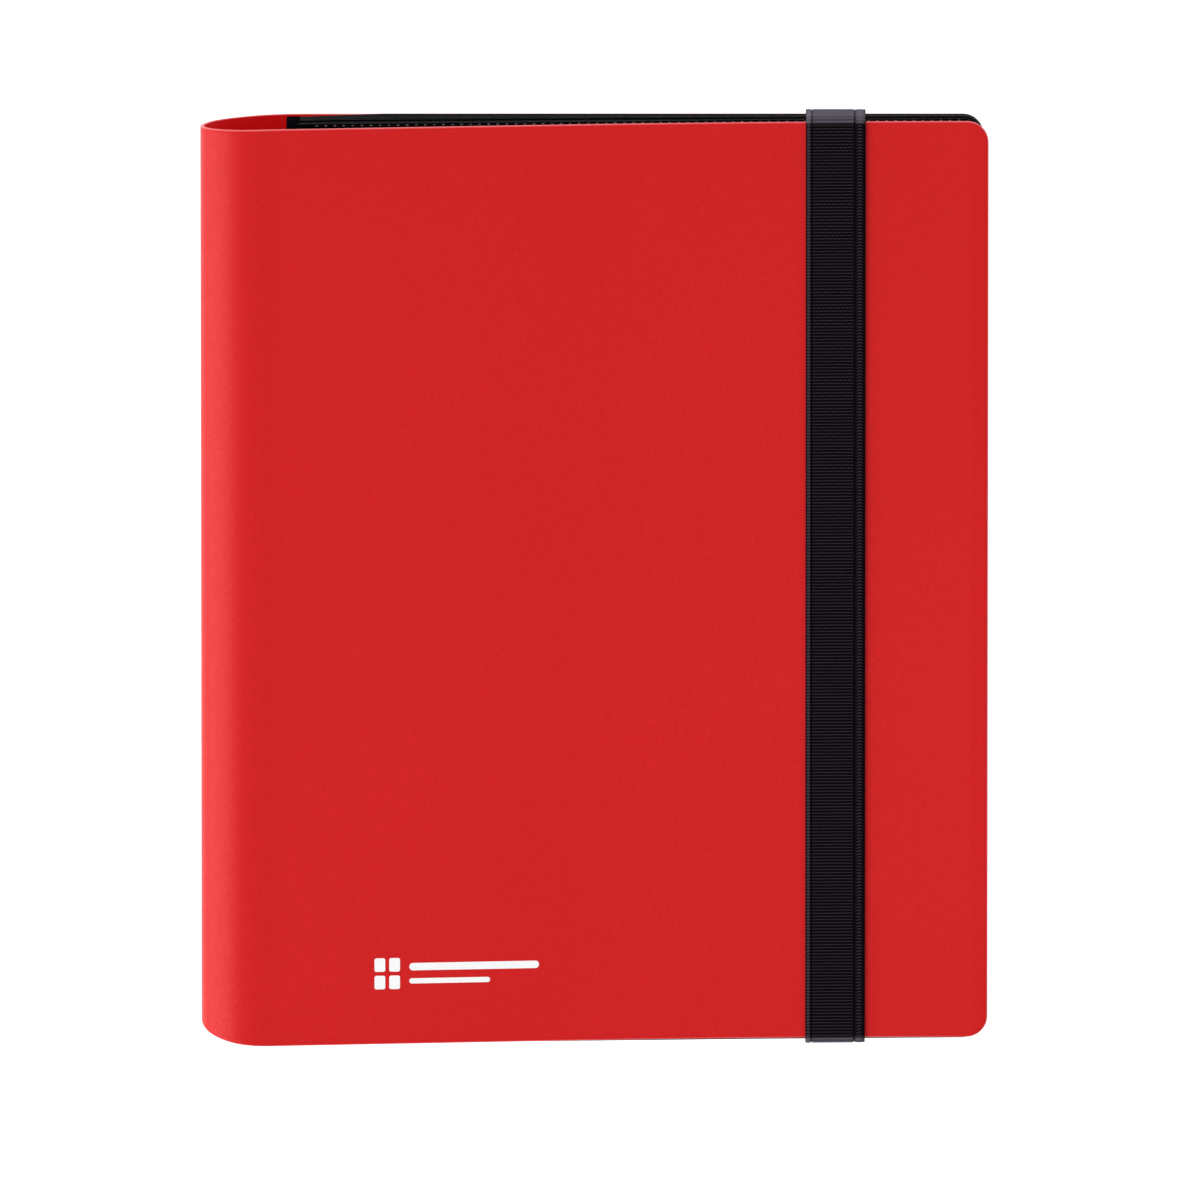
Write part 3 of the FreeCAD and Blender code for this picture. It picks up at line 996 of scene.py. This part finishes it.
# ---------------------------------------------------------------- printed mark
MARK_LEFT = 32.0 * MM         # from the front panel's left edge
MARK_BOTTOM = 12.6 * MM       # from its lower edge
CELL_TALL = 3.1 * MM
CELL_WIDE = CELL_TALL * 0.78
CELL_GAP = 0.9 * MM
CELL_RADIUS = 0.45 * MM
BARS_GAP = 1.2 * MM           # from the cells' gap to the bars
BARS = ((37.0, 4.2, 5.9, 0.8),          # right end, bottom, top and radius in mm
        (26.0, 1.2, 2.4, 0.58))
INK_THICK = 0.03 * MM
OUTLINE_STEPS = 6


def rounded_outline(x0, x1, y0, y1, radius):
    """Points round a rectangle with rounded corners."""
    points = []
    for cx, cy, start in ((x1 - radius, y1 - radius, 0.0), (x0 + radius, y1 - radius, 0.5),
                          (x0 + radius, y0 + radius, 1.0), (x1 - radius, y0 + radius, 1.5)):
        for i in range(OUTLINE_STEPS + 1):
            angle = math.pi * (start + 0.5 * i / OUTLINE_STEPS)
            points.append((cx + radius * math.cos(angle), cy + radius * math.sin(angle)))
    return points


def build_mark():
    """Plain white sign: a two by two grid of pockets beside two bars, printed on the front panel."""
    left = FRONT_LOW.x + MARK_LEFT
    bottom = -HALF + MARK_BOTTOM
    shapes = []
    for column in (0, 1):
        for row in (0, 1):
            x = left + column * (CELL_WIDE + CELL_GAP)
            y = bottom + row * (CELL_TALL + CELL_GAP)
            shapes.append((x, x + CELL_WIDE, y, y + CELL_TALL, CELL_RADIUS))
    bar_left = left + 2 * (CELL_WIDE + CELL_GAP) + BARS_GAP
    for right, low, high, radius in BARS:
        shapes.append((bar_left, left + right * MM, bottom + low * MM, bottom + high * MM, radius * MM))
    verts = []
    faces = []
    for x0, x1, y0, y1, radius in shapes:
        outline = rounded_outline(x0, x1, y0, y1, radius)
        b = len(verts)
        n = len(outline)
        for lift in (0.0, INK_THICK):
            verts.extend((x, y, front_height(x) + lift) for x, y in outline)
        faces.append(tuple(range(b + n - 1, b - 1, -1)))
        faces.append(tuple(range(b + n, b + 2 * n)))
        for j in range(n):
            k = (j + 1) % n
            faces.append((b + j, b + k, b + n + k, b + n + j))
    mark = new_mesh("front_mark", verts, faces)
    mark.data.materials.append(WHITE_INK)
    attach(mark, "cover")


build_mark()


# ---------------------------------------------------------------- carried-over nodes
def dress(node, material):
    """Give a carried-over CAD node its material."""
    piece = frame["nodes"][node]
    piece.data.materials.clear()
    piece.data.materials.append(material)


dress("bound_edges", BLACK_TAPE)
dress("binding_flange", BLACK_TAPE)
for end in ("top", "bottom"):
    dress("strap_clamp_" + end, RED_FACE)


# ---------------------------------------------------------------- floor, light and camera
FLOOR_HALF = 6.0
FLOOR_Z = -0.02 * MM
WORLD_STRENGTH = 0.34

# each lamp: place, the point it faces, its two sides and its power in watts
LAMPS = {
    "left_softbox": ((-0.90, -0.40, 0.80), (-0.05, -0.03, 0.01), (1.15, 1.15), 11.0),
    "low_left_softbox": ((-1.0, -0.20, 0.22), (-0.08, 0.0, 0.01), (0.9, 0.3), 2.5),
    "end_softbox": ((-0.15, 0.85, 0.42), (0.0, 0.1, 0.01), (0.8, 0.4), 3.2),
    "overhead_fill": ((0.05, -0.08, 0.50), (0.02, -0.04, 0.01), (0.34, 0.30), 0.70),
}
NO_REFLECTION = ("overhead_fill",)      # it would lay a white veil over the front

CAMERA_TILT = math.radians(10.0)
CAMERA_DISTANCE = 10.0
CAMERA_SEES = 269.8 * MM                # width seen at the binder
CAMERA_AIM = Vector((0.0, 0.0, 0.012))
AIM_RIGHT = 1.25 * MM
AIM_DOWN = 4.3 * MM
SENSOR_MM = 36.0
CLIP_NEAR, CLIP_FAR = 0.1, 40.0


def build_floor():
    """Square floor just under the rest plane."""
    h = FLOOR_HALF
    verts = [(-h, -h, FLOOR_Z), (h, -h, FLOOR_Z), (h, h, FLOOR_Z), (-h, h, FLOOR_Z)]
    floor = new_mesh("floor", verts, [(0, 1, 2, 3)])
    floor.data.materials.append(floor_pale())


def area_light(name, location, target, sides, power):
    """Rectangular lamp that faces a point and isn't seen itself."""
    light = bpy.data.lights.new(name, "AREA")
    light.shape = "RECTANGLE"
    light.size, light.size_y = sides
    light.energy = power
    lamp = bpy.data.objects.new(name, light)
    lamp.location = location
    lamp.visible_camera = False
    lamp.visible_glossy = name not in NO_REFLECTION
    direction = Vector(target) - Vector(location)
    lamp.rotation_euler = direction.to_track_quat("-Z", "Y").to_euler()
    bpy.context.scene.collection.objects.link(lamp)


def build_light():
    """Even studio light: a pale surround, softboxes at the left and the top end, a fill overhead."""
    world = bpy.data.worlds.new("studio")
    world.use_nodes = True
    background = world.node_tree.nodes["Background"]
    background.inputs["Color"].default_value = (1.0, 1.0, 1.0, 1)
    background.inputs["Strength"].default_value = WORLD_STRENGTH
    bpy.context.scene.world = world
    for name, settings in LAMPS.items():
        area_light(name, *settings)


def build_camera():
    """Long lens, nearly straight above the front panel, tipped a little towards the top end."""
    data = bpy.data.cameras.new("camera")
    data.sensor_width = SENSOR_MM
    data.lens = SENSOR_MM * CAMERA_DISTANCE / CAMERA_SEES
    data.clip_start = CLIP_NEAR
    data.clip_end = CLIP_FAR
    camera = bpy.data.objects.new("camera", data)
    bpy.context.scene.collection.objects.link(camera)
    back = Vector((0.0, math.sin(CAMERA_TILT), math.cos(CAMERA_TILT)))
    up = Vector((0.0, math.cos(CAMERA_TILT), -math.sin(CAMERA_TILT)))
    side = up.cross(back)
    aim = CAMERA_AIM + side * AIM_RIGHT - up * AIM_DOWN
    camera.location = aim + back * CAMERA_DISTANCE
    camera.rotation_mode = "QUATERNION"
    camera.rotation_quaternion = Matrix((side, up, back)).transposed().to_quaternion()
    bpy.context.scene.camera = camera


build_floor()
build_light()
build_camera()
bpy.context.scene.view_settings.view_transform = "Standard"
bpy.context.scene.view_settings.look = "None"
